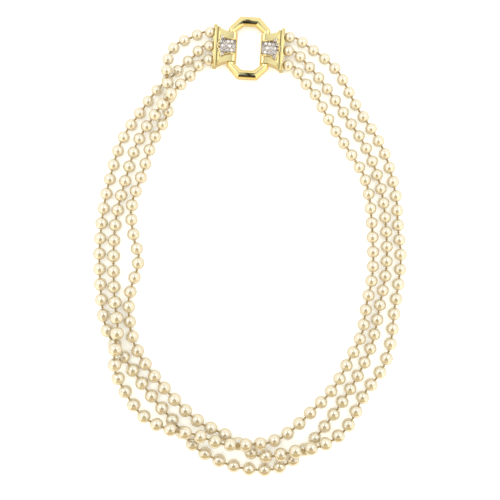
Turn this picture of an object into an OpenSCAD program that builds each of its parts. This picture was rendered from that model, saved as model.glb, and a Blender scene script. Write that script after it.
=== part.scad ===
// A necklace of three strands of knotted pearls on an octagonal clasp.
// It lies on a flat surface at z = 0, with the clasp at the +Y end.
// Sizes are in millimetres and +Z is up.

/* [Pearls] */
// Diameter of the pearls beside the clasp
pearl_end_d = 5.1; // [4.6:0.1:5.6]
// Diameter of the largest pearls, at the front of the necklace
pearl_front_d = 6.2; // [5.6:0.1:6.6]

/* [Thread] */
// Diameter of the silk thread
thread_d = 0.4; // [0.3:0.05:0.5]
// Air between the thread and the hole that it runs through
thread_clear = 0.15; // [0.12:0.01:0.25]
// Room for a knot between two pearls beside the clasp
knot_end_gap = 1.1; // [0.9:0.05:1.4]
// Room for a knot between two of the largest pearls
knot_front_gap = 0.95; // [0.75:0.05:1.1]
// Air between a knot and the pearl on each side of it
knot_clear = 0.11; // [0.1:0.01:0.15]

/* [Clasp ring] */
// Width of the octagonal ring over its bars
ring_w = 18.7; // [18:0.1:24]
// Height of the ring over its bars
ring_h = 28.2; // [27:0.2:33]
// Diameter of the ring's round bar at the top and the bottom
ring_bar_d = 4.3; // [3.8:0.1:4.8]
// Diameter of the bar at the sides, to which the slanting bars taper
ring_side_d = 3.5; // [3.3:0.1:4]
// Length of the ring's top and bottom bars along their middle line
ring_top_l = 7; // [6:0.1:9]
// Length of the ring's two side bars along their middle line
ring_side_l = 16; // [15:0.1:17]
// Diameter of the necks that the end pieces turn on
neck_d = 2.6; // [2.4:0.1:3.1]
// Air between a neck and the end piece around it
neck_clear = 0.2; // [0.15:0.05:0.35]

/* [End pieces] */
// Length of an end piece from its nose in the ring to its outer face
end_l = 10.7; // [10.2:0.1:12.5]
// Height of an end piece
end_h = 5.9; // [5.7:0.1:7]
// Wall over the neck of the ring
hood_wall = 0.8; // [0.6:0.1:1.1]
// Width of an end piece at its nose
nose_w = 13; // [12:0.1:13.4]
// Width of an end piece at its rim
rim_w = 18.6; // [17:0.1:20]
// Thickness of the rim that the first pearls rest against
rim_t = 1.7; // [1.5:0.1:2.2]
// How far the rim stands above the end piece
rim_rise = 0.4; // [0.2:0.1:0.8]
// Width and depth of the groove beside the rim
groove = 0.5; // [0.3:0.05:0.7]
// Distance between the holes of two strands
hole_pitch = 6.2; // [6:0.05:6.6]
// How deep a first pearl sits in its seat in the rim
seat_depth = 1.2; // [0.6:0.1:1.3]
// Air between a first pearl and its seat
seat_clear = 0.25; // [0.15:0.05:0.4]
// Thickness of the hidden catch plate under the ring
catch_t = 0.7; // [0.5:0.1:0.8]
// Air around the catch plate
catch_clear = 0.12; // [0.1:0.01:0.2]

/* [Stones] */
// Diameter of a cut stone
stone_d = 1.5; // [1.2:0.05:1.55]
// Air between a stone and its pocket
stone_clear = 0.12; // [0.1:0.01:0.2]
// Distance between two stones in a row
stone_pitch = 1.68; // [1.66:0.01:1.75]
// Distance between two rows of stones
row_pitch = 1.9; // [1.8:0.05:1.95]
// How far the panel of stones stands above the end piece
panel_rise = 0.4; // [0.2:0.05:0.6]
// Length of the panel of stones
panel_l = 8.1; // [8:0.05:8.3]
// Width of the panel of stones at its widest
panel_w = 9.2; // [8.8:0.1:9.8]

/* [Place on the surface] */
// Where the middle of the clasp lies to the side of the middle line
clasp_x = -0.9; // [-4:0.1:4]
// Where the middle of the clasp lies along the necklace
clasp_y = 89; // [87:0.5:92]
// How far the clasp is turned to the right
clasp_turn = 3.5; // [0:0.5:8]

/* [Hidden] */
$fn = 48;
// Room that a cutting shape takes past the solid that it cuts
past = 1;

// Names of the strands' places in the lists below
OUTER = 0;
MIDDLE = 1;
INNER = 2;

// The strands' routes on the surface, from the left end piece to the right one.
// Each point is [x, y, rise], chosen by hand. The rise is zero where the pearls
// rest on the surface, and about a pearl where a strand lies over another.
ROUTES = [
  [[-25, 94.5, 0.2], [-31, 93, 0], [-35.5, 88.5, 0.6], [-37.5, 82.5, 2.8],
   [-37, 75, 6.3], [-36.5, 69, 3], [-36.5, 63.5, 0.2], [-38, 58, 0],
   [-44.5, 47, 0], [-48, 35, 0], [-52.5, 23, 0], [-54, 16.5, 0], [-52.5, 3.5, 0],
   [-50, -6, 0], [-53, -15.5, 0], [-55, -25.5, 0], [-53, -42, 0],
   [-46.5, -54, 0], [-38, -64.5, 0], [-28.5, -74.5, 0], [-20.5, -80.5, 0],
   [-11, -84.5, 0], [-5, -89, 0], [1.5, -93.5, 0], [8.5, -94, 1.2],
   [15, -92, 4], [22, -90, 6], [29, -89, 5.4], [35, -87, 3.6],
   [40.5, -84, 0.9], [45, -79, 0], [51, -66, 0], [59, -55.5, 0], [63, -43, 0],
   [64.5, -29.5, 0], [67.5, -7, 0], [66.2, 9, 0], [65.5, 22, 0], [61, 40.5, 0],
   [55, 52, 0], [48, 62.5, 0], [42, 74, 0], [38.5, 80, 0], [28.5, 88.5, 0],
   [23, 91.5, 0.2]],
  [[-23.2, 87, 0.2], [-28.3, 83.7, 0], [-37, 75, 0], [-42, 71, 0], [-49.5, 60.5, 0],
   [-57, 50, 0], [-61.5, 37.5, 0], [-66, 18, 0], [-68, -3, 0], [-67, -24, 0],
   [-64.5, -38, 0], [-57, -49.5, 0], [-45, -66.5, 0], [-35.5, -77.5, 0],
   [-26.5, -88.5, 0], [-20.5, -93, 0], [-8, -98.5, 0], [6, -100.5, 0],
   [13, -99, 0], [19, -96, 0], [24.5, -91, 0], [33.5, -80.5, 0], [45, -63.5, 0],
   [54, -45.5, 0], [58, -26.5, 0], [61, -10, 0], [61, 5.5, 0], [59, 24.5, 0],
   [53, 42.5, 0], [43, 58.5, 0], [32, 74.5, 0], [23.5, 84, 0.2]],
  [[-23.5, 80, 1.6], [-27.3, 76.2, 2.8], [-31.1, 71.9, 5.1], [-35.5, 67, 8.4],
   [-40.2, 61.9, 4.9], [-44.5, 57, 1.4], [-51, 47, 0], [-55, 34.5, 0],
   [-60.2, 15, 0], [-61.5, 1, 0], [-61.6, -13.5, 0], [-60.8, -26, 0.8],
   [-59.5, -32.5, 2.8], [-59, -39, 5], [-60, -46, 6.4], [-60.5, -53.5, 4.6],
   [-59, -60, 1], [-52, -72, 0.2], [-47, -77, 1.2], [-41, -79.5, 3.4],
   [-34, -81.5, 6.5], [-28, -82, 6.1], [-21.5, -84.5, 4.4], [-15, -87, 4.5],
   [-8, -88, 5.7], [-1, -87.5, 5.4], [6, -88, 2.4], [12.5, -86.5, 0.3],
   [18, -83, 0], [28, -73.5, 0], [37.5, -63.5, 0], [44, -51.5, 0], [50, -39.5, 0],
   [52, -26.5, 0], [55, -11, 0], [54.5, 11, 0], [52, 29.5, 0], [46, 40.5, 0],
   [35.5, 56.5, 0], [30, 67.5, 0], [26, 72.5, 0], [21, 77, 0.2]],
];
// The middle of the whole necklace in the frame of the routes
LYING = [-0.32, 0.07, 0];
// The share of each strand, from its left end, at which its largest pearl lies
FRONT = [0.5, 0.37, 0.33];
// Points worked out on each stretch of a route
route_steps = 8;

// The outline of the panel of stones: share of its length, share of its half width
PANEL = [[0, 0.68], [0.35, 0.7], [0.6, 0.84], [0.76, 1], [0.82, 0.97], [0.87, 0.62],
         [0.9, 0.32], [1, 0.24]];
// The rows of stones: row number from the middle, stones, first stone's place in pitches
ROWS = [[-2, 1, 3.05], [-1, 4, 0.5], [0, 5, 0], [1, 4, 0.5], [2, 1, 3.05]];

// Heights of the clasp
rim_h = end_h + rim_rise;
hood_r = neck_d / 2 + neck_clear + hood_wall;
axis_z = end_h - hood_r;
panel_z = end_h + panel_rise;

// Places in the clasp, measured outwards from the ring's middle
bar_u = (ring_w - ring_side_d) / 2;
nose_u = bar_u - hood_r;
face_u = nose_u + end_l;
rim_u = face_u - rim_t;
seat_r = pearl_end_d / 2 + seat_clear;
first_u = face_u - seat_depth + seat_r;
hole_z = axis_z;
hole_d = thread_d + 2 * thread_clear;
start_u = first_u - (pearl_end_d + knot_end_gap) / 2;
// The straight end of a thread inside its hole
tail_l = 2.2;

// The catch plate that closes the slot under the neck
catch_w = nose_w - 4 * hood_wall;
catch_from = nose_u + hood_wall;
catch_to = bar_u + neck_d / 2 + 2 * hood_wall;
catch_z = catch_clear;

// Sides of the ring's round bar, and of the thread
bar_sides = 40;
thread_sides = 6;
// A knot from one side to the other: place and radius as shares of its radius
KNOT = [[-0.6, 0.85], [0, 1], [0.6, 0.85]];

// The octagon along the middle of the ring's bar
ring_half_h = (ring_h - ring_bar_d) / 2;
OCTAGON = [[bar_u, -ring_side_l / 2], [bar_u, ring_side_l / 2],
           [ring_top_l / 2, ring_half_h], [-ring_top_l / 2, ring_half_h],
           [-bar_u, ring_side_l / 2], [-bar_u, -ring_side_l / 2],
           [-ring_top_l / 2, -ring_half_h], [ring_top_l / 2, -ring_half_h]];

function mix(a, b, t) = a + (b - a) * t;
function unit(v) = v / norm(v);

// A point of the clasp on the surface plan: u outwards on side -1 or 1, v along Y
function clasp_point(u, v, side, rise) =
  [clasp_x + side * u * cos(clasp_turn) + v * sin(clasp_turn),
   clasp_y - side * u * sin(clasp_turn) + v * cos(clasp_turn), rise];

// Where a strand's hole lies along the rim
function hole_v(strand) = (MIDDLE - strand) * hole_pitch;

// The hand chosen points of a route between the points that the clasp gives
function route(strand) =
  let (v = hole_v(strand),
       rise = hole_z - pearl_end_d / 2,
       exit_u = first_u + (pearl_end_d + knot_end_gap) / 2)
  concat([clasp_point(start_u, v, -1, rise), clasp_point(exit_u, v, -1, rise)],
         ROUTES[strand],
         [clasp_point(exit_u, v, 1, rise), clasp_point(start_u, v, 1, rise)]);

// A smooth curve through four points, between the second and the third
function spline(a, b, c, d, t) =
  0.5 * (2 * b + (c - a) * t + (2 * a - 5 * b + 4 * c - d) * t * t
         + (3 * b - a - 3 * c + d) * t * t * t);

function curve(p) = let (last = len(p) - 1)
  concat([for (i = [0:last - 1], k = [0:route_steps - 1])
            spline(p[max(i - 1, 0)], p[i], p[i + 1], p[min(i + 2, last)],
                   k / route_steps)],
         [p[last]]);

// Each point of a curve as [length so far, the point]
function measured(c) =
  [for (i = 0, s = 0; i < len(c); i = i + 1,
        s = i < len(c) ? s + norm(c[i] - c[i - 1]) : s) [s, c[i]]];

// Tables that give x, y and rise at a length along a measured curve
function tables(m) = [for (axis = [0:2]) [for (row = m) [row[0], row[1][axis]]]];
function at(t, s) = [lookup(s, t[0]), lookup(s, t[1]), max(lookup(s, t[2]), 0)];

// How large a pearl is between the ends' size, 0, and the front's, 1
function grade(strand, t) = let (f = FRONT[strand])
  t < f ? t / f : (1 - t) / (1 - f);
function pearl_d(strand, t) = mix(pearl_end_d, pearl_front_d, grade(strand, t));
function gap(strand, t) = mix(knot_end_gap, knot_front_gap, grade(strand, t));
function pitch(strand, t) = pearl_d(strand, t) + gap(strand, t);

// The length along the route at which a straight step of length p ends
function stepped(t, s, p) =
  let (from = at(t, s),
       once = s + 2 * p - norm(at(t, s + p) - from))
  once + p - norm(at(t, once) - from);

// Lengths along the route at which n pearls begin and end, each step stretched a little
function stops(strand, t, n, stretch) =
  [for (k = 0, s = 0; k <= n;
        s = k < n ? stepped(t, s, stretch * pitch(strand, (k + 0.5) / n)) : s, k = k + 1) s];

// The knots of a strand, from one hole to the other. Whole pearls fill the route,
// and what is left over is shared among them.
function knots(strand) =
  let (m = measured(curve(route(strand))),
       t = tables(m),
       total = m[len(m) - 1][0],
       mean = mix(pearl_end_d + knot_end_gap, pearl_front_d + knot_front_gap, 0.5),
       n = floor(total / mean),
       plain = stops(strand, t, n, 1),
       s = stops(strand, t, n, 1 + (total - plain[n]) / total))
  [for (k = [0:n]) at(t, s[k]) + [0, 0, pearl_d(strand, k / n) / 2] - LYING];

// Turns a shape that stands along +Z so that it points from a to b
module along(a, b) {
  d = b - a;
  translate(a)
    rotate([0, acos(d[2] / norm(d)), atan2(d[1], d[0])])
      children();
}

// A pearl halfway between two knots, drilled from one to the other
module pearl(a, b, d) {
  along((a + b) / 2, b)
    difference() {
      sphere(d = d);
      cylinder(h = d + 2 * past, d = hole_d, center = true);
    }
}

module pearls(strand) {
  k = knots(strand);
  n = len(k) - 1;
  color("ivory")
    for (i = [0:n - 1])
      pearl(k[i], k[i + 1], pearl_d(strand, (i + 0.5) / n));
}

// A tube through sections, each [centre, radius, side, up]. A closed one is a ring.
module swept(sections, sides, closed) {
  n = len(sections);
  points = [for (s = sections, k = [0:sides - 1])
              let (a = 360 * k / sides)
              s[0] + s[1] * (cos(a) * s[2] + sin(a) * s[3])];
  walls = [for (i = [0:n - (closed ? 1 : 2)], k = [0:sides - 1])
             let (j = (i + 1) % n, l = (k + 1) % sides,
                  p = i * sides + k, q = i * sides + l, r = j * sides + l, t = j * sides + k)
             each [[p, q, r], [p, r, t]]];
  ends = [[for (k = [sides - 1:-1:0]) k], [for (k = [0:sides - 1]) (n - 1) * sides + k]];
  polyhedron(points = points, faces = closed ? walls : concat(walls, ends));
}

// A section of a thread at c that runs in the direction d
function thread_section(c, r, d) =
  let (side = unit([d[1], -d[0], 0])) [c, r, side, cross(side, d)];

// The sections of a knot at c on a thread that comes in the direction a and leaves in b
function knot_sections(c, r, a, b) =
  concat([thread_section(c - r * a, thread_d / 2, a)],
         [for (s = KNOT)
            let (d = s[0] < 0 ? a : s[0] > 0 ? b : unit(a + b))
            thread_section(c + r * s[0] * d, r * s[1], d)],
         [thread_section(c + r * b, thread_d / 2, b)]);

// A strand's thread with its knots, and a straight tail in the hole at each end
module thread(strand) {
  k = knots(strand);
  n = len(k) - 1;
  way = [for (i = [0:n - 1]) unit(k[i + 1] - k[i])];
  color("khaki")
    swept(concat([thread_section(k[0] - tail_l * way[0], thread_d / 2, way[0])],
                 [for (i = [1:n - 1])
                    each knot_sections(k[i], gap(strand, i / n) / 2 - knot_clear,
                                       way[i - 1], way[i])],
                 [thread_section(k[n] + tail_l * way[n - 1], thread_d / 2, way[n - 1])]),
          thread_sides, false);
}

// Puts a shape of the clasp's own frame in its place on the surface
module in_place() {
  translate([clasp_x, clasp_y, 0] - LYING)
    rotate([0, 0, -clasp_turn])
      children();
}

// The sections all the way along the ring's bar. At a corner the side is longer, so
// that two bars meet there in a mitre. The first and the fifth corner begin the side
// bars, each with its neck.
function ring_sections() =
  let (side_r = ring_side_d / 2, neck_r = neck_d / 2, neck_end = nose_w / 2 + neck_clear,
       steps = [[-neck_end, side_r], [-neck_end, neck_r], [neck_end, neck_r], [neck_end, side_r]])
  [for (i = [0:7])
     let (b = OCTAGON[i],
          before = unit(b - OCTAGON[(i + 7) % 8]),
          after = unit(OCTAGON[(i + 1) % 8] - b),
          out = unit(before - after) * 2 / norm(before + after),
          side = sign(b[0]),
          bar_r = abs(b[0]) < bar_u ? ring_bar_d / 2 : side_r)
     each concat([[[b[0], b[1], 0], bar_r, [out[0], out[1], 0], [0, 0, 1]]],
                 i % 4 > 0 ? [] :
                 [for (step = steps)
                    [[b[0], side * step[0], 0], step[1], [side, 0, 0], [0, 0, 1]]])];

// The octagonal ring, whose side bars are turned down to necks inside the end pieces
module clasp_ring() {
  color("gold")
    in_place()
      translate([0, 0, axis_z])
        swept(ring_sections(), bar_sides, true);
}

// Half the width of an end piece at u: straight over the hood, then flaring to the rim
function half_w(u) =
  mix(nose_w, rim_w - 2 * groove, pow(max(u - bar_u, 0) / (rim_u - bar_u), 2)) / 2;

// An end piece seen from its side. Its nose is rounded a little less than the hood.
module side_profile() {
  nose_r = hood_r * 0.75;
  polygon(concat(
    [[rim_u, 0], [rim_u, end_h]],
    [for (a = [90:15:180]) [nose_u + nose_r + nose_r * cos(a), end_h - nose_r + nose_r * sin(a)]],
    [[nose_u, nose_r / 2], [nose_u + nose_r / 2, 0]]));
}

module plan_outline() {
  steps = 8;
  half = [for (k = [0:steps]) let (u = mix(bar_u, rim_u, k / steps)) [u, half_w(u)]];
  polygon(concat([[nose_u - past, nose_w / 2]], half,
                 [for (k = [steps:-1:0]) [half[k][0], -half[k][1]]],
                 [[nose_u - past, -nose_w / 2]]));
}

module panel_outline() {
  from = face_u - rim_t - groove - panel_l;
  polygon(concat([for (p = PANEL) [from + p[0] * panel_l, p[1] * panel_w / 2]],
                 [for (k = [len(PANEL) - 1:-1:0])
                    [from + PANEL[k][0] * panel_l, -PANEL[k][1] * panel_w / 2]]));
}

// Puts its children where each stone's girdle is
module each_stone() {
  first = face_u - rim_t - groove - panel_l + stone_d / 2 + 2 * stone_clear;
  for (row = ROWS, k = [0:row[1] - 1])
    translate([first + (row[2] + k) * stone_pitch, row[0] * row_pitch, panel_z])
      children();
}

// The rim with an upright seat for each strand's first pearl
module rim() {
  difference() {
    translate([rim_u, -rim_w / 2, 0])
      cube([rim_t, rim_w, rim_h]);
    for (v = [-1:1])
      translate([first_u, v * hole_pitch, -past])
        cylinder(h = rim_h + 2 * past, r = seat_r);
  }
}

module end_piece() {
  difference() {
    union() {
      intersection() {
        rotate([90, 0, 0])
          linear_extrude(height = 2 * rim_w, center = true)
            side_profile();
        linear_extrude(height = end_h + past)
          plan_outline();
      }
      translate([0, 0, end_h - groove])
        linear_extrude(height = panel_rise + groove)
          panel_outline();
      rim();
    }
    // The bore that turns on the ring's neck
    translate([bar_u, 0, axis_z])
      rotate([90, 0, 0])
        cylinder(h = 2 * rim_w, r = neck_d / 2 + neck_clear, center = true);
    // The slot that lets the neck in from below, and the seat of the catch plate
    translate([bar_u - neck_d / 2 - neck_clear, -rim_w, -past])
      cube([neck_d + 2 * neck_clear, 2 * rim_w, axis_z + past]);
    translate([catch_from - catch_clear, -catch_w / 2 - catch_clear, -past])
      cube([catch_to - catch_from + 2 * catch_clear, catch_w + 2 * catch_clear,
            catch_z + catch_t + catch_clear + past]);
    // The groove beside the rim, across the top
    translate([rim_u - groove, -rim_w, end_h - groove])
      cube([groove, 2 * rim_w, groove + panel_rise + past]);
    for (v = [-1:1])
      translate([start_u - tail_l - thread_clear, v * hole_pitch, hole_z])
        rotate([0, 90, 0])
          cylinder(h = tail_l + rim_t + past, d = hole_d);
    each_stone()
      pocket();
  }
}

// The cone that a stone's lower half sits in
module pocket() {
  depth = stone_d / 2;
  translate([0, 0, -depth])
    cylinder(h = depth + past, r1 = stone_clear, r2 = stone_d / 2 + stone_clear * 1.5
             + past * (stone_d / 2) / depth);
}

module catch_plate() {
  translate([catch_from, -catch_w / 2, catch_z])
    cube([catch_to - catch_from, catch_w, catch_t]);
}

// A round cut stone with its girdle at z = 0: a table, a crown and a pavilion
module stone() {
  r = stone_d / 2;
  table_r = 0.58 * r;
  crown = 0.16 * stone_d;
  girdle = 0.03 * stone_d;
  depth = 0.42 * stone_d;
  points = concat(
    [for (i = [0:7]) [table_r * cos(45 * i), table_r * sin(45 * i), girdle + crown]],
    [for (i = [0:15]) [r * cos(22.5 * i), r * sin(22.5 * i), girdle]],
    [for (i = [0:15]) [r * cos(22.5 * i), r * sin(22.5 * i), 0]],
    [[0, 0, -depth]]);
  top = 8;
  low = 24;
  culet = 40;
  faces = concat(
    [[for (i = [7:-1:0]) i]],
    [for (i = [0:7]) [i, top + 2 * i, top + (2 * i + 15) % 16]],
    [for (i = [0:7]) [i, top + 2 * i + 1, top + 2 * i]],
    [for (i = [0:7]) [i, (i + 1) % 8, top + 2 * i + 1]],
    [for (j = [0:15]) [top + j, top + (j + 1) % 16, low + (j + 1) % 16, low + j]],
    [for (j = [0:15]) [low + j, low + (j + 1) % 16, culet]]);
  polyhedron(points = points, faces = faces);
}

// Mirrors a shape of the right end piece to the left one
module on_side(side) {
  in_place()
    mirror([side < 0 ? 1 : 0, 0, 0])
      children();
}

module pearls_outer() { pearls(OUTER); }
module pearls_middle() { pearls(MIDDLE); }
module pearls_inner() { pearls(INNER); }
module thread_outer() { thread(OUTER); }
module thread_middle() { thread(MIDDLE); }
module thread_inner() { thread(INNER); }
module end_piece_left() { color("gold") on_side(-1) end_piece(); }
module end_piece_right() { color("gold") on_side(1) end_piece(); }
module catch_left() { color("goldenrod") on_side(-1) catch_plate(); }
module catch_right() { color("goldenrod") on_side(1) catch_plate(); }
module stones_left() { color("white") on_side(-1) each_stone() stone(); }
module stones_right() { color("white") on_side(1) each_stone() stone(); }

pearls_outer();
pearls_middle();
pearls_inner();
thread_outer();
thread_middle();
thread_inner();
clasp_ring();
end_piece_left();
end_piece_right();
catch_left();
catch_right();
stones_left();
stones_right();
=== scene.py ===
# %% [markdown]
# # A three strand pearl necklace
#
# The necklace lies flat on a pale table and is seen from straight above. Three strands of
# knotted pearls end in one clasp: an eight sided ring of polished gold between two gold end
# pieces, each with a raised panel of small cut stones.
#
# The imported CAD model gives every place and size. We load it first.

import math
import random

import bmesh
import bpy
from mathutils import Matrix, Vector


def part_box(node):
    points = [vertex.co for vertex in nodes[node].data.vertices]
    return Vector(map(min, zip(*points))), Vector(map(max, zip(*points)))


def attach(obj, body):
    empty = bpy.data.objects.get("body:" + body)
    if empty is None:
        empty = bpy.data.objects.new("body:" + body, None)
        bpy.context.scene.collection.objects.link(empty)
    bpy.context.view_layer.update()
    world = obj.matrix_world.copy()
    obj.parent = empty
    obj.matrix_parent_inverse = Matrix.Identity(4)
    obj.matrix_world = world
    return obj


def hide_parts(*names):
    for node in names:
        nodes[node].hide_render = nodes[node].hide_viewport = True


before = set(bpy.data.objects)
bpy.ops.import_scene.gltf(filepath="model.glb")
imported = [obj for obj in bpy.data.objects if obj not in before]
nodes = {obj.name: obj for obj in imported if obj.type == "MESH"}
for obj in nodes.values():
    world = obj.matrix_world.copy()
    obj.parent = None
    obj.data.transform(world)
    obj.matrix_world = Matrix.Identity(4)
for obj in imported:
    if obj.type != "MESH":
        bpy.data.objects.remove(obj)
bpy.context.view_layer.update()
MM = 0.001
STRANDS = ["outer", "middle", "inner"]
SIDES = {"left": -1, "right": 1}
print("CAD nodes:", sorted(nodes))

# %% [markdown]
# ## The camera
#
# The photograph is taken from straight above. A camera far away would flatten everything, and
# a close one shows the raised pearls larger. The sizes of the pearls that lie on top of others
# put the camera about 36 cm above the table. Its up direction is +Y, towards the clasp.

# %% Camera
EYE = Vector((0.00003, -0.00147, 0.3626))
FOCAL_MM, SENSOR_MM, PEARL_MIDDLES_Z = 57.6, 36.0, 0.0026
lens_data = bpy.data.cameras.new("camera")
lens_data.lens = FOCAL_MM
lens_data.sensor_width = SENSOR_MM
camera = bpy.data.objects.new("camera", lens_data)
camera.location = EYE
bpy.context.collection.objects.link(camera)
bpy.context.scene.camera = camera
seen_width = (EYE.z - PEARL_MIDDLES_Z) * SENSOR_MM / FOCAL_MM
print("the camera sees", round(seen_width / MM), "mm across the strands")

# %% [markdown]
# ## Writing materials as sums
#
# A material is a tree of nodes. Wiring each one by hand hides the idea behind plumbing, so we
# wrap a socket in a small class that overloads + - * /. After that `0.4 + 0.6 * mask` adds its
# Math nodes by itself. Every other node comes from one method, `node`.

# %% Sockets that can be added and multiplied
class Signal:
    """A number that varies over a surface: one output socket of a node tree."""

    def __init__(self, recipe, socket):
        self.recipe, self.socket = recipe, socket

    def maths(self, operation, *values):
        inputs = dict(enumerate(values))
        return self.recipe.node("ShaderNodeMath", {"operation": operation}, inputs)[0]

    def __add__(self, other):
        return self.maths("ADD", self, other)

    def __mul__(self, other):
        return self.maths("MULTIPLY", self, other)

    def __sub__(self, other):
        return self.maths("SUBTRACT", self, other)

    def __rsub__(self, other):
        return self.maths("SUBTRACT", other, self)

    def __truediv__(self, other):
        return self.maths("DIVIDE", self, other)

    def clamped(self):
        return self.maths("MAXIMUM", self.maths("MINIMUM", self, 1.0), 0.0)

    __radd__ = __add__
    __rmul__ = __mul__


class Recipe:
    """The node tree of a material or of the world."""

    def __init__(self, owner):
        owner.use_nodes = True
        self.tree = owner.node_tree
        self.tree.nodes.clear()

    def node(self, kind, settings=(), inputs=()):
        """Adds a node, with its settings first, and returns its outputs."""
        made = self.tree.nodes.new(kind)
        settings = dict(settings)
        stops = settings.pop("stops", None)
        for name, value in settings.items():
            setattr(made, name, value)
        if stops:
            ramp = made.color_ramp.elements
            while len(ramp) < len(stops):
                ramp.new(1.0)
            for element, (place, colour) in zip(ramp, stops):
                element.position, element.color = place, (*colour, 1.0)
        for name, value in dict(inputs).items():
            if isinstance(value, Signal):
                self.tree.links.new(value.socket, made.inputs[name])
            else:
                made.inputs[name].default_value = value
        return [Signal(self, out) for out in made.outputs]

    def blend(self, amount, first, second):
        """A colour between two colours."""
        return self.node("ShaderNodeMix", {"data_type": "RGBA"},
                         {0: amount, 6: first, 7: second})[2]


def material(name):
    """A fresh material and its recipe."""
    fresh = bpy.data.materials.new(name)
    return fresh, Recipe(fresh)


def surface(recipe, **sockets):
    """Closes a material with one Principled shader."""
    named = {key.replace("_", " "): value for key, value in sockets.items()}
    shader = recipe.node("ShaderNodeBsdfPrincipled", {}, named)[0]
    recipe.node("ShaderNodeOutputMaterial", {}, {"Surface": shader})


def rgb(red, green, blue):
    return (red, green, blue, 1.0)


print("sockets can be added now")

# %% [markdown]
# ## The studio
#
# Pearls and polished gold have little colour of their own: they show the room. The photograph
# was taken in a white tent. It is a little cool overhead and golden towards the photographer.
# Below the horizon it is warm, because there the lower half of a pearl would mirror the table,
# and the table itself is left out of reflections. A ring of lamps would give each pearl a row of
# dots, so most of the light comes from the tent, which is the world.
#
# Three soft lamps help it. The large one above lights the table and shows in nothing. The two at
# the sides do show, as the soft bright spots on the gold and the pearls.

# %% The white tent
TENT_STRENGTH = 1.55
TENT = bpy.data.worlds.new("tent")
bpy.context.scene.world = TENT
tent = Recipe(TENT)
look = tent.node("ShaderNodeTexCoord")[0]
height = tent.node("ShaderNodeSeparateXYZ", {}, {0: look})[2]
walls = tent.node("ShaderNodeValToRGB", {"stops": [
    (0.0, (0.52, 0.45, 0.30)), (0.30, (0.80, 0.76, 0.62)), (0.42, (0.88, 0.89, 0.82)),
    (0.54, (0.78, 0.83, 0.77)), (0.66, (0.76, 0.83, 0.80)), (0.76, (0.80, 0.87, 0.82)),
    (0.84, (0.78, 0.86, 0.86)), (0.95, (0.76, 0.84, 0.85)), (1.0, (0.76, 0.84, 0.82))]},
    {0: height * 0.5 + 0.5})[0]
front = tent.node("ShaderNodeSeparateXYZ", {}, {0: look})[1] * -0.9
towards_front = front.clamped() * (height * 3.0 + 1.0).clamped()
walls = tent.blend(towards_front, walls, rgb(1.33, 1.20, 0.84))
seen = tent.node("ShaderNodeLightPath")[0]
colour = tent.blend(seen, walls, rgb(1.0, 1.0, 1.0))
light = tent.node("ShaderNodeBackground", {}, {0: colour, 1: TENT_STRENGTH})[0]
tent.node("ShaderNodeOutputWorld", {}, {0: light})


def softbox(name, place, size, energy, mirrored):
    """A rectangular lamp that looks at the middle of the table."""
    data = bpy.data.lights.new(name, "AREA")
    data.shape = "RECTANGLE"
    data.size, data.size_y = size
    data.energy = energy
    data.color = (1.0, 0.95, 0.88) if mirrored else (1.0, 0.96, 0.90)
    lamp = bpy.data.objects.new(name, data)
    lamp.location = place
    lamp.rotation_euler = (-Vector(place)).to_track_quat("-Z", "Y").to_euler()
    lamp.visible_glossy = mirrored
    bpy.context.collection.objects.link(lamp)


softbox("fill_above", (0.0, 0.15, 0.9), (0.9, 0.9), 4.0, False)
softbox("box_left", (-0.28, 0.21, 0.44), (0.16, 0.34), 0.25, True)
softbox("box_right", (0.28, 0.21, 0.44), (0.16, 0.34), 0.25, True)
print("tent and", len(bpy.data.lights), "softboxes ready")

# %% [markdown]
# ## The table and the cards
#
# The table is pale and matt, with a little glow of its own, because the photograph shows it
# burnt out to white. The dark streaks on the ring's bars are reflections too: a dark hood and
# the arm of the camera stand hang overhead. The golden front and a brown edge give the pearls
# their lower rims. All of these are flat cards that stand clear of the necklace. The camera
# doesn't see them, and they cast no shadow. They only reflect.

# %% The table and the cards
floor_look, floor_recipe = material("pale_table")
paper_grain = floor_recipe.node(
    "ShaderNodeTexNoise", {}, {"Scale": 900.0, "Detail": 2.0,
                               "Vector": floor_recipe.node("ShaderNodeTexCoord")[3]})[0]
paper = floor_recipe.blend(paper_grain, rgb(0.89, 0.88, 0.85), rgb(0.91, 0.90, 0.87))
surface(floor_recipe, Base_Color=paper, Roughness=0.7,
        Emission_Color=rgb(1.0, 1.0, 1.0), Emission_Strength=0.12)


def staged(name, corners, look):
    """A flat sheet of the studio through four corners, in metres."""
    sheet = bmesh.new()
    sheet.faces.new([sheet.verts.new(corner) for corner in corners])
    mesh = bpy.data.meshes.new(name)
    sheet.to_mesh(mesh)
    sheet.free()
    mesh.materials.append(look)
    thing = bpy.data.objects.new(name, mesh)
    bpy.context.collection.objects.link(thing)
    return thing


TABLE_Z = -0.00002
table = staged("table", [(-3, -3, TABLE_Z), (3, -3, TABLE_Z), (3, 3, TABLE_Z),
                         (-3, 3, TABLE_Z)], floor_look)
table.visible_glossy = False


def card(name, corners, shade):
    """A card that only shows in reflections."""
    look, recipe = material(name)
    glow = recipe.node("ShaderNodeEmission", {}, {0: rgb(*shade), 1: 1.0})[0]
    recipe.node("ShaderNodeOutputMaterial", {}, {"Surface": glow})
    sheet = staged(name, corners, look)
    sheet.visible_camera = False
    sheet.visible_diffuse = False
    sheet.visible_shadow = False
    sheet.visible_transmission = False


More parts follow.
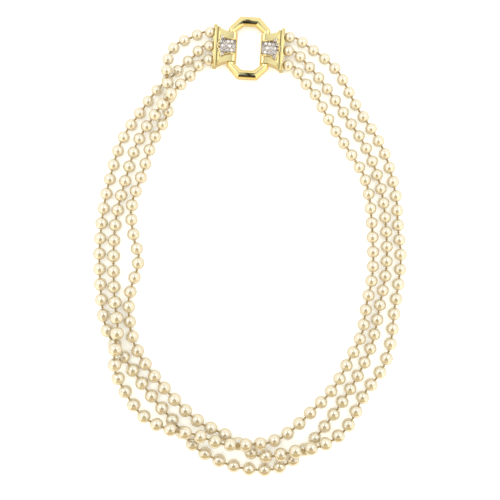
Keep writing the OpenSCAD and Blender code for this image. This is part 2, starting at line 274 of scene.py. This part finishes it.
SHADE, DEEP, BLACK = (0.20, 0.28, 0.38), (0.0, 0.0, 0.02), (0.01, 0.008, 0.006)
GOLDEN, BROWN = (0.44, 0.35, 0.16), (0.30, 0.21, 0.07)
HOOD_Z, ARM_Z = 0.25, 0.249
card("card_overhead", [(-0.003, 0.15, HOOD_Z), (0.003, 0.15, HOOD_Z), (0.007, 0.12, HOOD_Z),
                       (0.086, -0.012, HOOD_Z), (-0.086, -0.012, HOOD_Z),
                       (-0.007, 0.12, HOOD_Z)], SHADE)
card("card_middle", [(-0.086, -0.012, HOOD_Z), (0.086, -0.012, HOOD_Z), (0.106, -0.03, HOOD_Z),
                     (0.17, -0.18, HOOD_Z), (-0.17, -0.18, HOOD_Z),
                     (-0.106, -0.03, HOOD_Z)], DEEP)
card("card_front", [(-0.14, -0.18, HOOD_Z), (0.14, -0.18, HOOD_Z),
                    (0.20, -0.266, 0.13), (-0.20, -0.266, 0.13)], GOLDEN)
card("card_edge", [(-0.09, -0.125, 0.040), (0.09, -0.125, 0.040),
                   (0.09, -0.130, 0.008), (-0.09, -0.130, 0.008)], BROWN)
card("card_arm", [(-0.0070, -0.01, ARM_Z), (0.0050, -0.01, ARM_Z), (0.0080, 0.31, ARM_Z),
                  (-0.0100, 0.31, ARM_Z)], BLACK)
print("table and cards stand")

# %% [markdown]
# ## Helpers for the pieces
#
# Each finished piece is one object at the origin with its place in its mesh, as the CAD nodes
# are. `finished` turns a bmesh into such an object, lets it ride on the necklace's one body and
# hides the CAD nodes that it stands for. `copied` adds a small shape many times to one mesh, and
# `pushed_on` extrudes a loop of edges by one step, which is how the bars and wires grow.

# %% Making and copying shapes
def finished(name, shape, look, slot, nodes_replaced, smooth=True):
    """Ends a bmesh as a piece of the necklace."""
    for face in shape.faces:
        face.smooth = smooth
    mesh = bpy.data.meshes.new(name)
    shape.to_mesh(mesh)
    shape.free()
    mesh.materials.append(look)
    piece = bpy.data.objects.new(name, mesh)
    bpy.context.collection.objects.link(piece)
    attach(piece, "root")
    if nodes_replaced:
        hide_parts(*nodes_replaced)
    print(name, "has", len(mesh.polygons), "faces")
    return piece


def as_mesh(shape, name):
    """Keeps a small shape as a mesh that can be copied many times."""
    mesh = bpy.data.meshes.new(name)
    shape.to_mesh(mesh)
    shape.free()
    return mesh


def copied(shape, template, place):
    """Adds a copy of a template mesh at a place and returns its new vertices."""
    before = len(shape.verts)
    shape.from_mesh(template)
    shape.verts.ensure_lookup_table()
    new = shape.verts[before:]
    bmesh.ops.transform(shape, matrix=place, verts=new)
    return new


def corners_of(parts):
    """The vertices among the parts that an operator returned."""
    return [part for part in parts if isinstance(part, bmesh.types.BMVert)]


def pushed_on(shape, edges):
    """Extrudes a loop of edges. Returns the vertices and the edges of the new loop."""
    made = bmesh.ops.extrude_edge_only(shape, edges=edges)["geom"]
    verts = corners_of(made)
    inside = set(verts)
    loop = [part for part in made if isinstance(part, bmesh.types.BMEdge)
            and all(vert in inside for vert in part.verts)]
    return verts, loop


def box_of(points):
    """The low and the high corner of the box round some points."""
    low = Vector([min(point[i] for point in points) for i in range(3)])
    high = Vector([max(point[i] for point in points) for i in range(3)])
    return low, high


def facing(direction, at, size, turn=0.0):
    """The place of a shape that is modelled along +Z, turned to point along a direction."""
    aim = direction.to_track_quat("Z", "Y").to_matrix().to_4x4()
    scale = Matrix.Diagonal((*size, 1.0)) if hasattr(size, "__len__") else Matrix.Scale(size, 4)
    return Matrix.Translation(at) @ aim @ Matrix.Rotation(turn, 4, "Z") @ scale


print("helpers ready")

# %% [markdown]
# ## Where the pearls are
#
# A pearl of the CAD model is a ball with a hole drilled through it. We could type the places in
# again, but then they could drift apart from the CAD. Measuring is safer: each loose part of a
# node is one pearl. Its box gives the middle and the size, and the long narrow faces inside it
# are the wall of the hole, so they give the direction in which it is drilled.

# %% Measure the drilled pearls
def loose_parts(node):
    """The loose parts of a CAD node, each as a list of faces."""
    shape = bmesh.new()
    shape.from_mesh(node.data)
    bmesh.ops.remove_doubles(shape, verts=shape.verts, dist=1e-7)
    shape.faces.ensure_lookup_table()
    seen, parts = set(), []
    for face in shape.faces:
        if face.index in seen:
            continue
        seen.add(face.index)
        part, todo = [], [face]
        while todo:
            one = todo.pop()
            part.append(one)
            for edge in one.edges:
                for other in edge.link_faces:
                    if other.index not in seen:
                        seen.add(other.index)
                        todo.append(other)
        parts.append(part)
    return shape, parts


def measured_pearl(part):
    """Middle, radius and drilling direction of one pearl."""
    points = {vert.index: vert.co for face in part for vert in face.verts}.values()
    low, high = box_of(points)
    middle = (low + high) / 2
    radius = max((p - middle).length for p in points)
    wall = [f for f in part if (f.calc_center_median() - middle).length < 0.6 * radius]
    rims = [vert.co - middle for face in wall for vert in face.verts]
    rough = max(rims, key=lambda rim: rim.length)
    one = [rim for rim in rims if rim.dot(rough) > 0]
    return middle, radius, (sum(one, Vector()) / len(one)).normalized()


def strung(node, start):
    """The pearls of a strand in order, each drilled towards the next."""
    shape, parts = loose_parts(node)
    left = [measured_pearl(part) for part in parts]
    shape.free()
    row, here = [], start
    while left:
        nearest = min(left, key=lambda pearl: (pearl[0] - here).length)
        left.remove(nearest)
        row.append(nearest)
        here = nearest[0]
    for k, (middle, radius, hole) in enumerate(row):
        ahead = row[min(k + 1, len(row) - 1)][0] - row[max(k - 1, 0)][0]
        row[k] = (middle, radius, hole if hole.dot(ahead) > 0 else -hole)
    return row


left_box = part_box("end_piece_left")
left_end = (Vector(left_box[0]) + Vector(left_box[1])) / 2
strands = {name: strung(nodes["pearls_" + name], left_end) for name in STRANDS}
for name, row in strands.items():
    print(name, len(row), "pearls of", round(2 * row[0][1] / MM, 2), "to",
          round(2 * max(r for _, r, _ in row) / MM, 2), "mm")

# %% [markdown]
# ## The pearls' finish
#
# A cultured pearl is golden cream inside and has a thin layer of nacre over it, which mirrors
# the room with a soft edge. A plain glossy ball would mirror too little. So the body is a warm
# cream, and the nacre is a coat with a high index, which mirrors about a third of the light even
# head on. No two pearls match: each has its own tone and warmth, which ride on its vertices, and
# faint clouds and dimples run over it.

# %% Nacre
def nacre(name):
    look, recipe = material(name)
    tone = recipe.node("ShaderNodeAttribute", {"attribute_name": "tone"})[2]
    warmth = recipe.node("ShaderNodeAttribute", {"attribute_name": "warmth"})[2]
    where = recipe.node("ShaderNodeTexCoord")[3]
    clouds = recipe.node("ShaderNodeTexNoise", {}, {"Vector": where, "Scale": 420.0,
                                                    "Detail": 3.0, "Roughness": 0.5})[0]
    cream = recipe.blend((tone * 0.7 + clouds * 0.5 - 0.1).clamped(),
                         rgb(0.43, 0.324, 0.175), rgb(0.495, 0.385, 0.225))
    blush = recipe.blend((warmth * 0.6 + clouds * 0.3 - 0.15).clamped(),
                         cream, rgb(0.472, 0.336, 0.202))
    skin = recipe.node("ShaderNodeTexNoise", {}, {"Vector": where, "Scale": 700.0,
                                                  "Detail": 2.0})[0]
    dimples = recipe.node("ShaderNodeBump", {}, {"Strength": 0.12, "Distance": 0.0001,
                                                 "Height": skin})[0]
    surface(recipe, Base_Color=blush, Roughness=0.3 + 0.1 * clouds, Normal=dimples,
            IOR=1.5, Coat_Weight=1.0, Coat_Roughness=0.12, Coat_IOR=4.0)
    return look


print("nacre mixed")

# %% [markdown]
# ## One drilled pearl
#
# A round shape is spun, as on a lathe. Half a circle of six steps stands for the skin, and two
# more points lead into the drilled hole. Spun round the hole's axis it gives a few dozen faces,
# and one level of subdivision makes it smooth. But subdivision pulls a surface inwards, and more
# at some points than at others. So `blown_up` measures the smoothed form and moves each point of
# the skin out by what it lost, four times over, until the smoothed skin is a ball.

# %% Spin a pearl
HOLE, HOLE_DEPTH = 0.12, 0.9


def pearl_template():
    """A drilled ball of radius 1 with its hole along Z."""
    shape = bmesh.new()
    lip = math.radians(13)
    start = shape.verts.new((math.sin(lip), 0.0, math.cos(lip)))
    arc = bmesh.ops.spin(shape, geom=[start], cent=(0, 0, 0), axis=(0, 1, 0),
                         angle=math.pi - 2 * lip, steps=6)["geom_last"]
    end = corners_of(arc)[0]
    inner = [bmesh.ops.extrude_vert_indiv(shape, verts=[vert])["verts"][0]
             for vert in (start, end)]
    for vert in inner:
        vert.co = (HOLE, 0.0, math.copysign(HOLE_DEPTH, vert.co.z))
    shape.edges.new(inner)
    bmesh.ops.spin(shape, geom=shape.verts[:] + shape.edges[:], cent=(0, 0, 0), axis=(0, 0, 1),
                   angle=2 * math.pi, steps=12, use_merge=True)
    bmesh.ops.remove_doubles(shape, verts=shape.verts, dist=1e-5)
    bmesh.ops.recalc_face_normals(shape, faces=shape.faces)
    return as_mesh(shape, "pearl")


def rounded(piece):
    """Adds a subdivision surface with the same level in every view."""
    soft = piece.modifiers.new("rounded", "SUBSURF")
    soft.levels = soft.render_levels = 1


def blown_up(template, rounds=4):
    """Moves the skin out until its smoothed form is a ball. Returns how far that reaches."""
    tester = bpy.data.objects.new("tester", template)
    bpy.context.collection.objects.link(tester)
    rounded(tester)
    for turn in range(rounds + 1):
        template.update()
        bpy.context.view_layer.update()
        seen = tester.evaluated_get(bpy.context.evaluated_depsgraph_get()).to_mesh()
        reaches = [vert.co.length for vert in seen.vertices]
        if turn < rounds:
            for vert in template.vertices:
                if vert.co.xy.length > 1.5 * HOLE:
                    vert.co /= reaches[vert.index]
    skin = [vert.co.length for vert in seen.vertices if vert.co.xy.length > 2 * HOLE]
    print("the skin lies between", round(min(skin), 3), "and", round(max(skin), 3))
    bpy.data.objects.remove(tester)
    return max(reaches)


PEARL = pearl_template()
REACH = blown_up(PEARL)
print("a pearl has", len(PEARL.polygons), "faces and reaches", round(REACH, 3))

# %% [markdown]
# ## The strands of pearls
#
# Every pearl is a copy of that shape at its own place, turned by chance round its hole and made
# a hair shorter or flatter, because real pearls are never quite round. The seed is fixed, so
# that the same necklace comes out each time. A strand is one piece. Its last modifier evens out
# the shading, and makes Blender measure the smoothed pearls instead of the cage round them.

# %% String the pearls
def strand_of_pearls(name, row, seed):
    chance = random.Random(seed)
    shape = bmesh.new()
    tone = shape.verts.layers.float.new("tone")
    warmth = shape.verts.layers.float.new("warmth")
    for middle, radius, hole in row:
        wide = radius / REACH * chance.uniform(0.99, 1.0)
        long = radius / REACH * chance.uniform(0.98, 1.0)
        place = facing(hole, middle, (wide, wide * chance.uniform(0.985, 1.0), long),
                       chance.uniform(0, 2 * math.pi))
        light, warm = chance.random(), chance.random()
        for vert in copied(shape, PEARL, place):
            vert[tone], vert[warmth] = light, warm
    piece = finished("strand_" + name, shape, nacre("nacre_" + name), "pearl_" + name,
                     ["pearls_" + name])
    rounded(piece)
    piece.modifiers.new("even shading", "WEIGHTED_NORMAL")


for number, name in enumerate(STRANDS):
    strand_of_pearls(name, strands[name], 11 + number)

# %% [markdown]
# ## The silk and its knots
#
# Between two pearls the silk shows as a small dark gold knot that keeps them from rubbing. A
# ball would look like a bead, so the knot is made as it is tied: a short coil of thread, spun
# with a step along its axis, round a straight piece of the same thread. That piece ends inside
# the pearls' holes, where nobody can look. The first and the last pearl get a smaller knot
# towards the clasp.

# %% Tie a knot
def knot_template():
    """A knot of half length 1 round a thread along Z."""
    shape = bmesh.new()
    ring = bmesh.ops.create_circle(shape, segments=5, radius=0.42)["verts"]
    upright = Matrix.Rotation(math.pi / 2, 3, "X")
    bmesh.ops.rotate(shape, verts=ring, cent=(0, 0, 0), matrix=upright)
    bmesh.ops.translate(shape, verts=ring, vec=(0.5, 0.0, -0.42))
    bmesh.ops.spin(shape, geom=ring + list({e for v in ring for e in v.link_edges}),
                   cent=(0, 0, 0), axis=(0, 0, 1), dvec=(0, 0, 0.06),
                   angle=math.radians(700), steps=14)
    bmesh.ops.holes_fill(shape, edges=[e for e in shape.edges if e.is_boundary], sides=5)
    bmesh.ops.create_cone(shape, cap_ends=True, segments=6, radius1=0.5, radius2=0.5,
                          depth=2.9)
    bmesh.ops.recalc_face_normals(shape, faces=shape.faces)
    return as_mesh(shape, "knot")


def silk(name):
    """Twisted dark gold silk: fine slanting lines round the thread."""
    look, recipe = material(name)
    where = recipe.node("ShaderNodeTexCoord")[3]
    lines = recipe.node("ShaderNodeTexWave",
                        {"wave_type": "BANDS", "bands_direction": "DIAGONAL"},
                        {"Vector": where, "Scale": 2600.0, "Distortion": 2.0})[1]
    colour = recipe.blend(lines, rgb(0.25, 0.14, 0.03), rgb(0.54, 0.35, 0.12))
    twist = recipe.node("ShaderNodeBump", {}, {"Strength": 0.5, "Distance": 0.00005,
                                               "Height": lines})[0]
    surface(recipe, Base_Color=colour, Roughness=0.62, Normal=twist)
    return look


KNOT = knot_template()
KNOT_WIDE, KNOT_CLEAR = 0.64 * MM, 0.05 * MM
END_KNOT, END_KNOT_OUT = (0.5 * MM, 0.5 * MM, 0.45 * MM), 0.5 * MM
print("a knot has", len(KNOT.polygons), "faces")


def strand_of_silk(name, row, seed):
    """A knot between each two pearls, as long as the room that they leave."""
    chance = random.Random(seed)
    shape = bmesh.new()
    for (here, r, hole), (there, s, other) in zip(row, row[1:]):
        first, last = here + hole * r, there - other * s
        room = (last - first).length
        copied(shape, KNOT, facing((last - first).normalized(), (first + last) / 2,
                                   (KNOT_WIDE, KNOT_WIDE, 0.5 * room - KNOT_CLEAR),
                                   chance.uniform(0, 6.28)))
    for (middle, r, hole), sign in ((row[0], -1), (row[-1], 1)):
        copied(shape, KNOT, facing(hole, middle + sign * hole * (r + END_KNOT_OUT), END_KNOT))
    finished("silk_" + name, shape, silk("silk_" + name), "silk_" + name, ["thread_" + name])


for number, name in enumerate(STRANDS):
    strand_of_silk(name, strands[name], 31 + number)

# %% [markdown]
# ## Polished gold
#
# Gold plate is a mirror with a colour. Its base colour is the tint of what it mirrors head on.
# Even well polished metal has a faint mist of scratches and some wear, which we give it by noise
# in its roughness and colour and by a very shallow bump.
#
# Each end piece has a groove beside its rim, and there the gold is darkened to a dark brown:
# painted shade, which stands in for the shade that falls into the groove. Painting it by hand
# would need an image. Here a mask is worked out from two numbers: how far out a point lies
# across the clasp, and how high it lies.

# %% Gold
CLASP_TURN = math.radians(-3.5)
CLASP = Matrix.Translation((-0.58 * MM, 88.93 * MM, 0)) @ Matrix.Rotation(CLASP_TURN, 4, "Z")
CLASP = CLASP @ Matrix.Scale(MM, 4)
GROOVE_U, BODY_Z, GROOVE_FLOOR_Z = 14.05, 5.9, 5.2


def gold(name, polish=0.1, tint=rgb(0.80, 0.635, 0.32), shaded_groove_side=0):
    """Gold plate. A side of -1 or 1 adds the painted shade in the groove of that end piece."""
    look, recipe = material(name)
    where = recipe.node("ShaderNodeTexCoord")[3]
    mist = recipe.node("ShaderNodeTexNoise", {}, {"Vector": where, "Scale": 500.0,
                                                  "Detail": 3.0})[0]
    wear = recipe.node("ShaderNodeTexNoise", {}, {"Vector": where, "Scale": 120.0})[0]
    colour = recipe.blend(wear * 0.5, tint, rgb(0.77, 0.58, 0.27))
    if shaded_groove_side:
        across = CLASP.inverted().to_3x3().row[0]
        turned = recipe.node("ShaderNodeVectorMath", {"operation": "DOT_PRODUCT"},
                             {0: where, 1: tuple(across)})[1]
        out = (turned + CLASP.inverted()[0][3]) * shaded_groove_side - GROOVE_U
        groove_shade_line = 1.0 - (out * out * 12.0).clamped()
        height = recipe.node("ShaderNodeSeparateXYZ", {}, {0: where})[2] / MM
        below = ((BODY_Z - height) * 5.0).clamped()
        groove_shade_depth = below * ((height - GROOVE_FLOOR_Z) * 8.0).clamped()
        # Painted shade: the groove's mask darkens the colour to dark brown.
        colour = recipe.blend(groove_shade_line * groove_shade_depth, colour, rgb(0.13, 0.09, 0.02))
    swell = recipe.node("ShaderNodeBump", {}, {"Strength": 0.03, "Distance": 0.0002,
                                               "Height": wear})[0]
    surface(recipe, Base_Color=colour, Metallic=1.0, Roughness=polish + 0.06 * mist,
            Normal=swell)
    return look


def white_metal(name):
    """The pale plating between the stones."""
    look, recipe = material(name)
    where = recipe.node("ShaderNodeTexCoord")[3]
    mist = recipe.node("ShaderNodeTexNoise", {}, {"Vector": where, "Scale": 900.0,
                                                  "Detail": 3.0})[0]
    colour = recipe.blend(mist, rgb(0.33, 0.28, 0.26), rgb(0.68, 0.60, 0.56))
    surface(recipe, Base_Color=colour, Metallic=1.0, Roughness=0.1 + 0.2 * mist)
    return look


print("gold poured")

# %% [markdown]
# ## The clasp's ring
#
# The ring is bent from round bar and mitred at eight corners. It could be a circle swept along
# a curve, but a curve rounds its corners. Here a circle is extruded from corner to corner, and
# at each corner it is stretched sideways as a mitre needs. Inside the end pieces the side bars
# are turned down to thin necks. A small bevel takes the sharpness off the mitres, and the edges
# that still turn clearly are marked as sharp, so that the flats keep clean reflections.

# %% Sweep the ring
BAR_U, BAR_V, AXIS_Z = 7.6, 11.95, 3.6
BAR_R, SIDE_R, NECK_R, NECK_V = 2.15, 1.75, 1.3, 6.7
CORNER_U, CORNER_V = 3.5, 8
UP = Vector((0, 0, 1))


def frame_at(place, side, up, radius):
    """The place of a unit circle whose X becomes side and whose Y becomes up."""
    along = side.cross(up)
    axes = Matrix((side * radius, up * radius, along)).transposed().to_4x4()
    return Matrix.Translation(place) @ axes


def ring_stations():
    """Places of the circle all the way round, four to each side bar."""
    corners = [(BAR_U, -CORNER_V), (BAR_U, CORNER_V), (CORNER_U, BAR_V), (-CORNER_U, BAR_V),
               (-BAR_U, CORNER_V), (-BAR_U, -CORNER_V), (-CORNER_U, -BAR_V),
               (CORNER_U, -BAR_V)]
    points = [Vector((x, y, 0)) for x, y in corners]
    stations = []
    for i, here in enumerate(points):
        before = (here - points[i - 1]).normalized()
        after = (points[(i + 1) % 8] - here).normalized()
        out = (before - after).normalized() * 2 / (before + after).length
        radius = BAR_R if abs(here.x) < 5 else SIDE_R
        lift = Vector((0, 0, AXIS_Z))
        stations.append(frame_at(here + lift, out, UP, radius))
        if i % 4 == 0:
            side = 1 if here.x > 0 else -1
            for v, r in ((-NECK_V, SIDE_R), (-NECK_V, NECK_R),
                         (NECK_V, NECK_R), (NECK_V, SIDE_R)):
                at = Vector((here.x, side * v, AXIS_Z))
                stations.append(frame_at(at, Vector((side, 0, 0)), UP, r))
    return stations


def swept_ring():
    """The ring as one closed bar."""
    shape = bmesh.new()
    stations = ring_stations()
    verts = bmesh.ops.create_circle(shape, segments=40, radius=1.0)["verts"]
    bmesh.ops.transform(shape, matrix=stations[0], verts=verts)
    first = list({edge for vert in verts for edge in vert.link_edges})
    edges, crisp, before = first, list(first), stations[0]
    for place in stations[1:]:
        verts, edges = pushed_on(shape, edges)
        bmesh.ops.transform(shape, matrix=place @ before.inverted(), verts=verts)
        crisp += edges
        before = place
    bmesh.ops.bridge_loops(shape, edges=edges + first)
    bmesh.ops.recalc_face_normals(shape, faces=shape.faces)
    bmesh.ops.bevel(shape, geom=crisp, offset=0.09, offset_type="OFFSET", segments=1,
                    profile=0.5, affect="EDGES", material=-1)
    bmesh.ops.transform(shape, matrix=CLASP, verts=shape.verts)
    bmesh.ops.recalc_face_normals(shape, faces=shape.faces)
    return shape


SHARP_FROM = math.radians(16)
ring_shape = swept_ring()
for edge in ring_shape.edges:
    if len(edge.link_faces) == 2 and edge.calc_face_angle(0) > SHARP_FROM:
        edge.smooth = False
finished("ring", ring_shape, gold("gold_ring", 0.06, rgb(0.79, 0.62, 0.30)), "ring_gold",
         ["clasp_ring"])

# %% [markdown]
# ## The end pieces
#
# Each end piece hooks over a neck of the ring, flares towards the strands and ends in a rim with
# a seat for each first pearl. The CAD solid has these forms exactly, but with razor edges that
# no cast and polished metal has. So a copy of it is cleaned up into large flat faces, and a
# bevel rounds its edges as polishing does. Weighted normals keep the large faces flat, where
# plain smooth shading would bend the reflections near the edges.

# %% Polish the end pieces
def cleaned_copy(name):
    """A copy of a CAD node with merged corners and large flat faces."""
    shape = bmesh.new()
    shape.from_mesh(nodes[name].data)
    bmesh.ops.remove_doubles(shape, verts=shape.verts, dist=1e-6)
    bmesh.ops.dissolve_limit(shape, angle_limit=math.radians(1.0), verts=shape.verts,
                             edges=shape.edges)
    return shape


def end_piece(side):
    """One end piece with its edges rounded."""
    shape = cleaned_copy("end_piece_" + side)
    look = gold("gold_" + side, 0.09, shaded_groove_side=SIDES[side])
    piece = finished("end_" + side, shape, look, "end_gold_" + side, ["end_piece_" + side])
    edge = piece.modifiers.new("polished", "BEVEL")
    edge.width = 0.14 * MM
    edge.segments = 2
    edge.limit_method = "ANGLE"
    edge.angle_limit = math.radians(32)
    flat = piece.modifiers.new("flats stay flat", "WEIGHTED_NORMAL")
    flat.weight = 50


for side in SIDES:
    end_piece(side)

# %% [markdown]
# ## The cut stones
#
# A round stone has a flat table, a belt of crown facets, a thin girdle and a pointed pavilion.
# What makes it sparkle is that light leaves it in hundreds of directions, some bright and some
# dark. A path tracer needs very many samples for that inside stones of 1.5 mm. So every facet
# gets its own painted brightness between grey and white, a painted reflection that stands in for
# that light, and a sharp gloss on top of it.

# %% Cut a stone
PAVILION = 0.84


def stone_template():
    """A cut stone of radius 1 with its girdle at z = 0."""
    shape = bmesh.new()
    girdle = bmesh.ops.create_circle(shape, segments=16, radius=1.0)["verts"]
    edges = list({edge for vert in girdle for edge in vert.link_edges})
    steps = (("girdle", 0.06, 1.0), ("crown", 0.30, 0.82), ("table", 0.42, 0.58))
    loop = edges
    height = 0.0
    for title, level, width in steps:
        verts, loop = pushed_on(shape, loop)
        bmesh.ops.translate(shape, verts=verts, vec=(0, 0, level - height))
        now = width / max(vert.co.xy.length for vert in verts)
        bmesh.ops.scale(shape, verts=verts, vec=(now, now, 1.0))
        if title == "crown":
            turn = Matrix.Rotation(math.radians(11.25), 3, "Z")
            bmesh.ops.rotate(shape, verts=verts, cent=(0, 0, 0), matrix=turn)
        height = level
    bmesh.ops.contextual_create(shape, geom=loop)
    point, _ = pushed_on(shape, edges)
    bmesh.ops.translate(shape, verts=point, vec=(0, 0, -PAVILION))
    bmesh.ops.pointmerge(shape, verts=point, merge_co=(0, 0, -PAVILION))
    bmesh.ops.triangulate(shape, faces=[f for f in shape.faces if len(f.verts) == 4])
    bmesh.ops.recalc_face_normals(shape, faces=shape.faces)
    return as_mesh(shape, "stone")


def brilliant(name):
    """Sparkling stone: every facet has its own painted brightness, a painted reflection."""
    look, recipe = material(name)
    facet = recipe.node("ShaderNodeAttribute", {"attribute_name": "facet"})[2]
    colour = recipe.blend(facet, rgb(0.12, 0.10, 0.11), rgb(1.0, 0.91, 0.88))
    surface(recipe, Base_Color=colour, Roughness=0.06, IOR=2.0, Coat_Weight=1.0,
            Coat_Roughness=0.03, Coat_IOR=2.0)
    return look


STONE = stone_template()
print("a stone has", len(STONE.polygons), "facets")


def pave(side, seed):
    """The stones of one panel, at the places of the CAD stones. Returns those places."""
    chance = random.Random(seed)
    loose, parts = loose_parts(nodes["stones_" + side])
    shape = bmesh.new()
    places = []
    for part in parts:
        points = [vert.co.copy() for face in part for vert in face.verts]
        low, high = box_of(points)
        radius = (high.x - low.x) / 2
        girdle = Vector(((low.x + high.x) / 2, (low.y + high.y) / 2,
                         low.z + PAVILION * radius))
        places.append(girdle)
        lean_x, lean_y = chance.uniform(-0.06, 0.06), chance.uniform(-0.06, 0.06)
        tilt = Vector((lean_x, lean_y, 1)).normalized()
        copied(shape, STONE, facing(tilt, girdle, radius, chance.uniform(0, 6.28)))
    loose.free()
    # Painted reflections: a random brightness for each facet stands in for the light the stone
    # sends out.
    facet = shape.faces.layers.float.new("facet")
    for face in shape.faces:
        face[facet] = chance.choice((0.05, 0.15, 0.3, 0.5, 0.9))
    finished("pave_" + side, shape, brilliant("stone_" + side), "stones_" + side,
             ["stones_" + side], smooth=False)
    return places


stones = {side: pave(side, 51) for side in SIDES}

# %% [markdown]
# ## Beads and wires
#
# Small beads of white metal hold the stones: the setter raises them from the bed where three
# stones meet. They and their bed are one piece on each side. The second piece is of gold: a wire
# runs round the panel, a larger bead closes its tip, and a ridge and a lip run along the rim.
# All of it is made from balls and swept wires, because a carved form would need far more faces.

# %% Set the stones
PANEL = [(0.0, 0.68), (0.35, 0.7), (0.6, 0.84), (0.76, 1.0), (0.82, 0.97), (0.87, 0.62),
         (0.9, 0.32), (1.0, 0.24)]
PANEL_FROM, PANEL_L, PANEL_HALF, PANEL_Z = 5.7, 8.1, 4.6, 6.3
BORDER_R, RIDGE_R, LIP_R, TIP_R = 0.34, 0.38, 0.34, 0.65
RIDGE_U, TIP_U, LIP_U, LIP_Z = 13.25, 13.45, 15.15, 6.3
BEAD_R, BEAD_OUT, BEAD_MERGE = 0.3 * MM, 1.04, 0.5 * MM


def wire(shape, points, radius, sides=8):
    """A round wire through points, extruded from one to the next."""
    circle = bmesh.ops.create_circle(shape, segments=sides, radius=radius)["verts"]
    edges = list({edge for vert in circle for edge in vert.link_edges})
    before = None
    for i, point in enumerate(points):
        ahead = points[min(i + 1, len(points) - 1)] - points[max(i - 1, 0)]
        here = facing(ahead.normalized(), point, 1.0)
        if before is None:
            bmesh.ops.transform(shape, matrix=here, verts=circle)
        else:
            verts, edges = pushed_on(shape, edges)
            bmesh.ops.transform(shape, matrix=here @ before.inverted(), verts=verts)
        before = here
    bmesh.ops.holes_fill(shape, edges=[e for e in shape.edges if e.is_boundary], sides=sides)


def bead_places(places):
    """Where three stones meet: six points round each stone, merged where they fall together."""
    found = []
    for girdle in places:
        for k in range(6):
            angle = math.radians(30 + 60 * k) + CLASP_TURN
            at = girdle + Vector((math.cos(angle), math.sin(angle), 0)) * BEAD_OUT * MM
            close = [other for other in found if (other - at).length < BEAD_MERGE]
            if close:
                close[0] += (at - close[0]) / 2
            else:
                found.append(at)
    return found


def panel_border(sign, half, height):
    """The panel's outline in the clasp's own millimetres."""
    upper = [Vector((sign * (PANEL_FROM + a * PANEL_L), b * half, height)) for a, b in PANEL]
    return upper + [Vector((p.x, -p.y, p.z)) for p in reversed(upper)]


def pave_bed(side, places):
    """The white metal between the stones, with its beads."""
    shape = bmesh.new()
    outline = panel_border(SIDES[side], PANEL_HALF - 0.15, PANEL_Z - 0.1)
    corners = [shape.verts.new(point) for point in outline]
    plate = shape.faces.new(corners)
    made = bmesh.ops.extrude_face_region(shape, geom=[plate])["geom"]
    bmesh.ops.translate(shape, verts=corners_of(made), vec=(0, 0, 0.14))
    bmesh.ops.transform(shape, matrix=CLASP, verts=shape.verts)
    ball = bmesh.new()
    bmesh.ops.create_uvsphere(ball, u_segments=8, v_segments=5, radius=1.0)
    bead = as_mesh(ball, "bead")
    for at in bead_places(places):
        copied(shape, bead, Matrix.Translation(at) @ Matrix.Scale(BEAD_R, 4))
    bmesh.ops.recalc_face_normals(shape, faces=shape.faces)
    finished("bed_" + side, shape, white_metal("white_" + side), "stones_" + side, [])


def setting(side):
    """The gold wires and the tip bead of one end piece."""
    sign = SIDES[side]
    trim = bmesh.new()
    wire(trim, panel_border(sign, PANEL_HALF, PANEL_Z), BORDER_R)
    ridge = [Vector((sign * RIDGE_U, v, BODY_Z + 0.02)) for v in (-8.4, -6, -3, 0, 3, 6, 8.4)]
    wire(trim, ridge, RIDGE_R, sides=10)
    ball = bmesh.ops.create_uvsphere(trim, u_segments=16, v_segments=10, radius=TIP_R)["verts"]
    bmesh.ops.translate(trim, verts=ball, vec=(sign * TIP_U, 0, PANEL_Z + 0.2))
    lip = [Vector((sign * LIP_U, v, LIP_Z)) for v in (-9.1, -6, -3, 0, 3, 6, 9.1)]
    wire(trim, lip, LIP_R, sides=10)
    bmesh.ops.transform(trim, matrix=CLASP, verts=trim.verts)
    bmesh.ops.recalc_face_normals(trim, faces=trim.faces)
    finished("setting_" + side, trim, gold("gold_setting_" + side), "end_gold_" + side, [])


for side in SIDES:
    pave_bed(side, stones[side])
    setting(side)

# %% [markdown]
# ## The hidden catches
#
# The plate under each end piece is plain in the CAD model and stays plain. It only gets a
# satin gold of its own.

# %% Satin gold for the catches
for side in SIDES:
    plate = nodes["catch_" + side]
    for place in plate.material_slots:
        place.material = gold("satin_" + side, 0.3, rgb(0.92, 0.66, 0.27))
    print("catch", side, "has its finish")

# %% [markdown]
# ## Exposure
#
# The photograph is bright, with a table that is pure white. The Standard view keeps the cream
# and the gold as they are.

# %% Finish
bpy.context.scene.view_settings.view_transform = "Standard"
